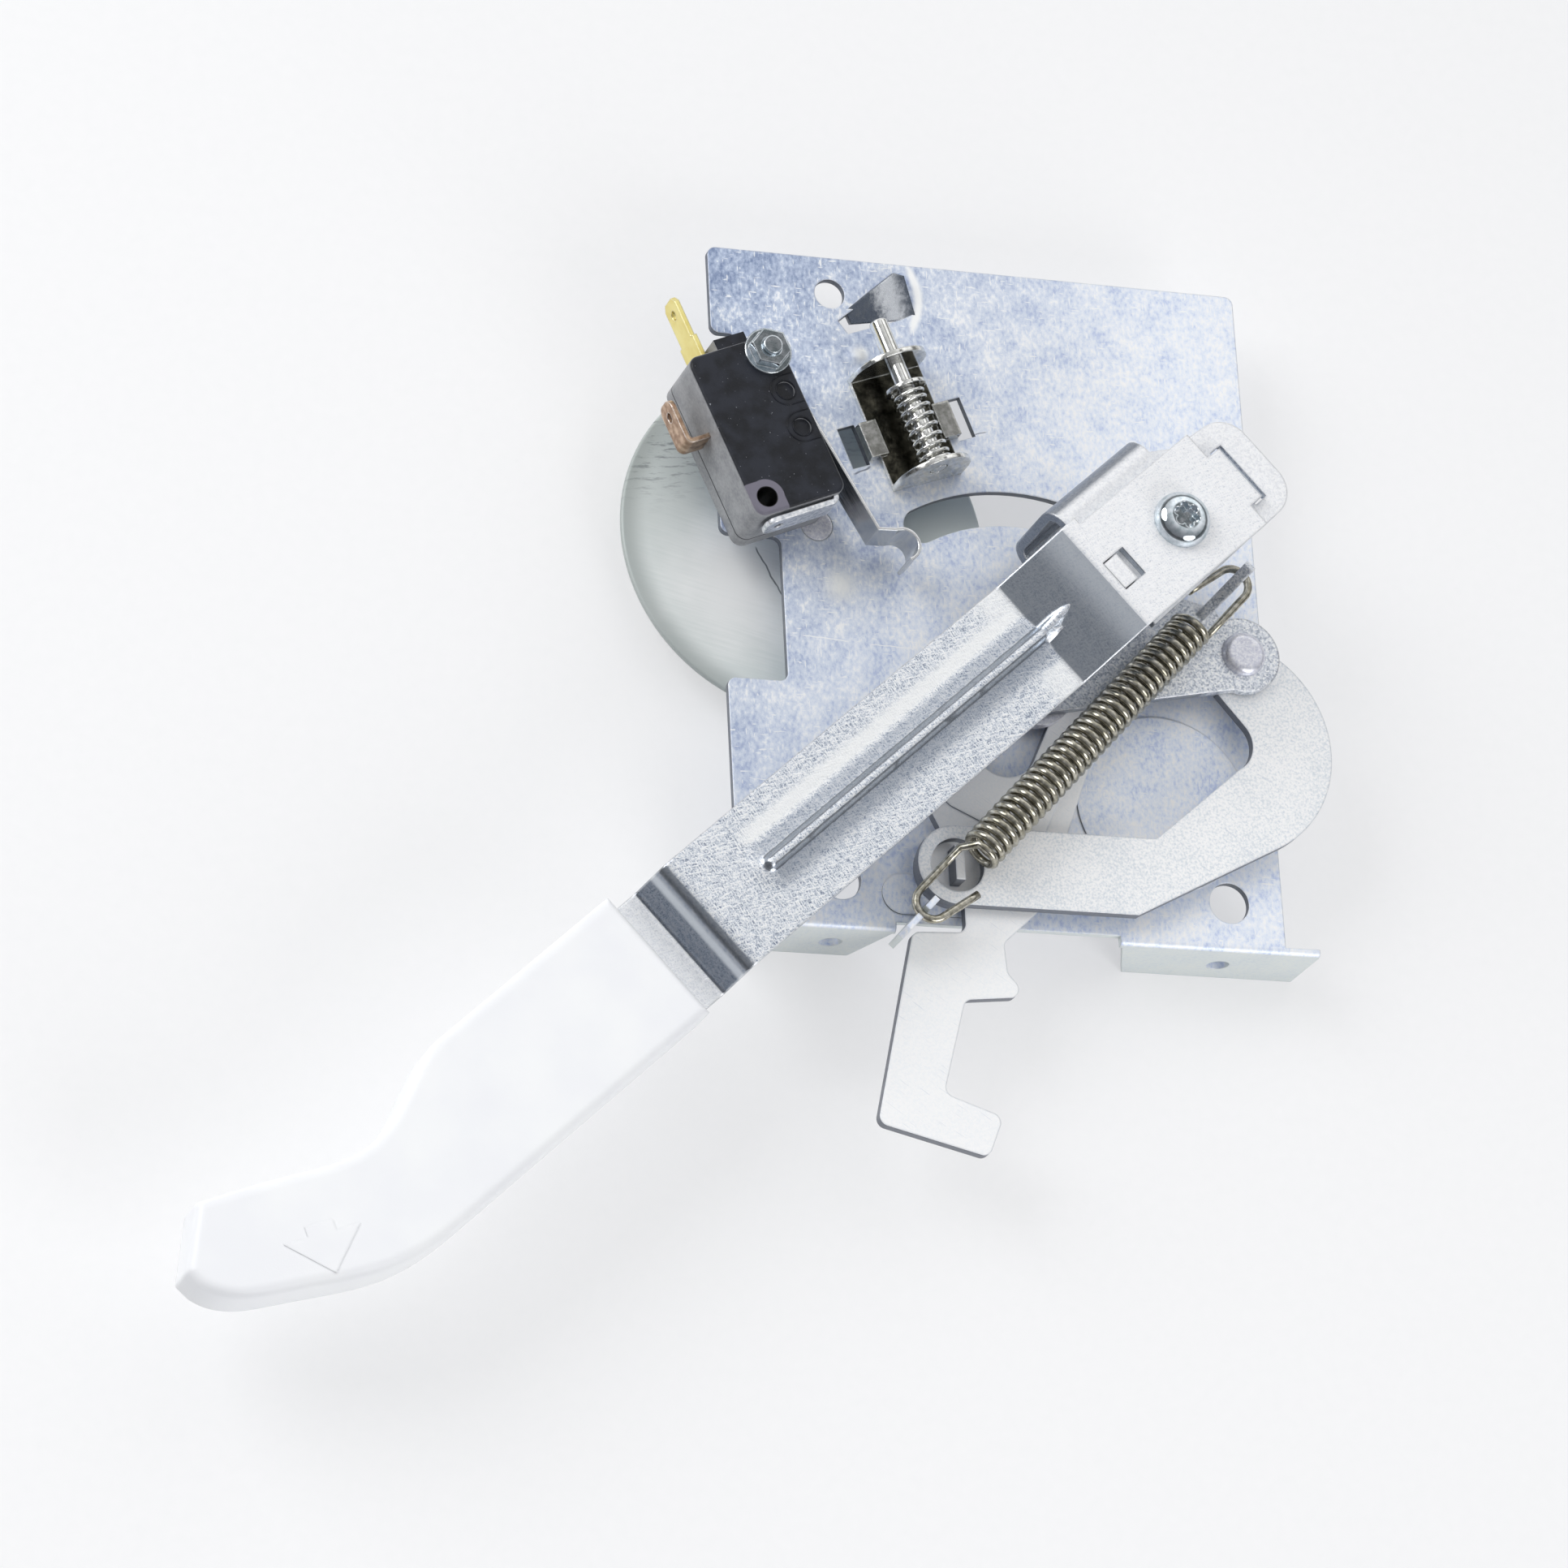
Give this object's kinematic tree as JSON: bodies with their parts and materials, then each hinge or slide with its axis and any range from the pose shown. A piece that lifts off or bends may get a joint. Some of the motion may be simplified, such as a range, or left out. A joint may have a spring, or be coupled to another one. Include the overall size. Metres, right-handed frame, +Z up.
{
  "type": "oven door latch",
  "caption": "Sheet-metal oven door latch with a ribbed swing lever and white grip, slotted hook, bowed link, over-centre spring, lock pin and limit switch.",
  "frame": {"origin": "midway between the two front screw holes on the front face of the flanges", "axes": "+Z up through the base plate, -Y out of the front flanges towards the oven door, +X to the right"},
  "size_m": [0.187, 0.1783, 0.0383],
  "materials": {
    "galvanised": "galvanised spangle",
    "disc_steel": "turned sheet",
    "zinc_sheet": "matte zinc plate",
    "crank_zinc": "sparkling zinc plate",
    "lever_zinc": "brushed zinc plate",
    "nickel": "bright nickel",
    "turned_steel": "turned",
    "spring_wire": "drawn wire",
    "white_grip": "satin moulding",
    "black_case": "moulded",
    "brass_tab": "stamped",
    "copper_tab": "worn stamped",
    "silver_tab": "stamped"
  },
  "bodies": {
    "base": {"base_plate": "galvanised", "spring_lug": "galvanised", "heat_disc": "disc_steel", "disc_stud": "turned_steel", "pivot_post": "turned_steel", "switch_base": "black_case", "switch_case": "black_case", "terminal_brass": "brass_tab", "terminal_copper": "copper_tab", "terminal_silver": "silver_tab", "snap_blade": "copper_tab", "switch_screw": "nickel", "switch_nut": "nickel", "pin_bracket": "nickel", "pin_spring": "nickel"},
    "crank": {"crank": "crank_zinc", "crank_rivet": "turned_steel", "lever": "lever_zinc", "lever_screw": "turned_steel", "handle": "white_grip"},
    "spring": {"main_spring": "spring_wire"},
    "spring_eye": {"spring_eye": "spring_wire"},
    "link": {"link": "zinc_sheet"},
    "bush": {"guide_bush": "turned_steel"},
    "hook": {"hook": "zinc_sheet"},
    "pin": {"lock_pin": "nickel", "pin_clip": "nickel"},
    "switch_lever": {"switch_lever": "silver_tab"},
    "switch_plunger": {"switch_plunger": "black_case"}
  },
  "joints": [
    {"name": "lever_swing", "type": "hinge", "parent": "base", "child": "crank", "pos_m": [0, 0.0408, 0.0065], "axis": [0, 0, 1], "range_deg": [0, 55], "deforming": ["main_spring", "spring_eye"]},
    {"name": "spring_turn", "type": "hinge", "parent": "base", "child": "spring", "pos_m": [-0.0223, 0, 0.0148], "axis": [0, 0, 1], "range_deg": [0, 24.7]},
    {"name": "spring_stretch", "type": "slide", "parent": "spring", "child": "spring_eye", "axis": [0.6876, 0.726, 0], "range_m": [0, 0.002]},
    {"name": "link_turn", "type": "hinge", "parent": "crank", "child": "link", "pos_m": [0.03514, 0.04763, 0.0097], "axis": [0, 0, 1], "range_deg": [-15.3, 0]},
    {"name": "bush_turn", "type": "hinge", "parent": "base", "child": "bush", "pos_m": [0, 0.0408, 0.0065], "axis": [0, 0, 1], "range_deg": [0, 27]},
    {"name": "hook_slide", "type": "slide", "parent": "bush", "child": "hook", "axis": [0.4226, 0.9063, 0], "range_m": [0, 0.0066]},
    {"name": "lock_pin_slide", "type": "slide", "parent": "base", "child": "pin", "axis": [0.3371, -0.9415, 0], "range_m": [0, 0.007], "stiffness_N_per_m": 120, "deforming": ["pin_spring"]},
    {"name": "switch_lever_turn", "type": "hinge", "parent": "base", "child": "switch_lever", "pos_m": [-0.03831, 0.08569, 0.0125], "axis": [0, 0, 1], "range_deg": [-4.1, 0]},
    {"name": "plunger_slide", "type": "slide", "parent": "base", "child": "switch_plunger", "axis": [-0.9265, -0.3762, 0], "range_m": [0, 0.0005]}
  ],
  "couplings": [
    {"joint": "spring_turn", "follows": "lever_swing", "ratio": 0.44642},
    {"joint": "spring_stretch", "follows": "lever_swing", "m_per_rad": 0.0020283},
    {"joint": "link_turn", "follows": "lever_swing", "ratio": -0.27682},
    {"joint": "bush_turn", "follows": "lever_swing", "ratio": 0.48727},
    {"joint": "hook_slide", "follows": "lever_swing", "m_per_rad": 0.0067713},
    {"joint": "switch_lever_turn", "follows": "lever_swing", "ratio": -0.072727},
    {"joint": "plunger_slide", "follows": "lever_swing", "m_per_rad": 0.00051045}
  ]
}
